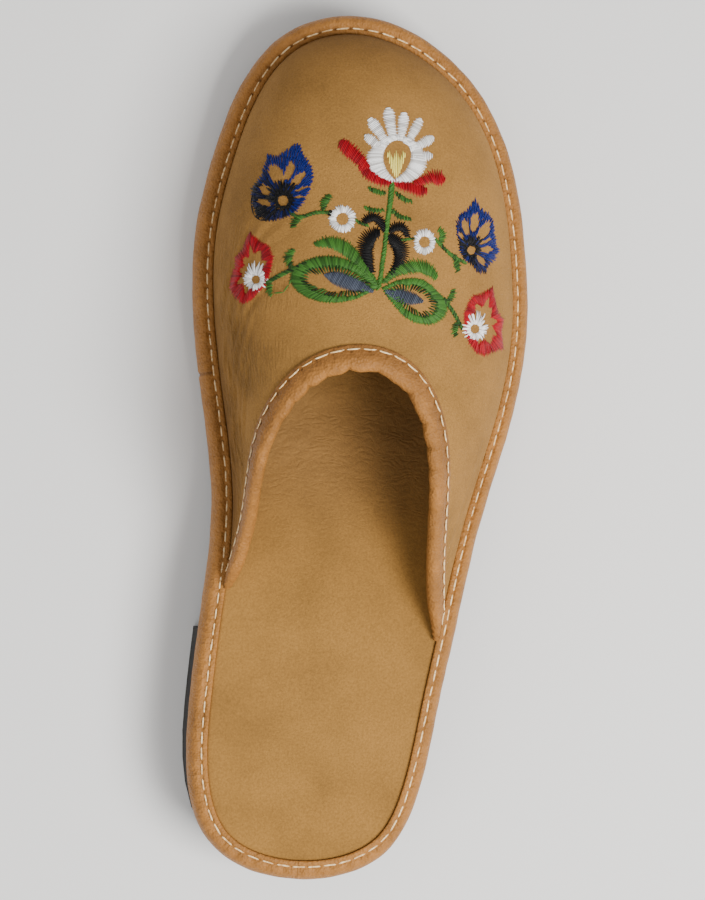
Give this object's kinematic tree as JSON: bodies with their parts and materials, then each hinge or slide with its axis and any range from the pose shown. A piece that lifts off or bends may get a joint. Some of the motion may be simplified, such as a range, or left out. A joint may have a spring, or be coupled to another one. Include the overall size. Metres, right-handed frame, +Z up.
{
  "type": "babouche slipper",
  "caption": "Backless leather mule slipper for the right foot: hollow vamp with a bound collar, leather-wrapped platform, sock and black rubber sole with a low heel.",
  "frame": {"origin": "middle of the bounding box on the floor that the shoe stands on", "axes": "+Y towards the toe, +X towards the outer side of the right foot, +Z up"},
  "size_m": [0.1058, 0.267, 0.0706],
  "materials": {
    "black_rubber": "moulded matt black rubber",
    "wrap_leather": "smooth tan leather with a soft sheen",
    "sock_leather": "cloudy tan nubuck, matt",
    "vamp_nubuck": "tan nubuck, matt, embroidered"
  },
  "bodies": {
    "root": {"outsole": "black_rubber", "heel": "black_rubber", "midsole": "wrap_leather", "insole": "sock_leather", "upper": "vamp_nubuck", "collar_binding": "wrap_leather"}
  },
  "joints": []
}
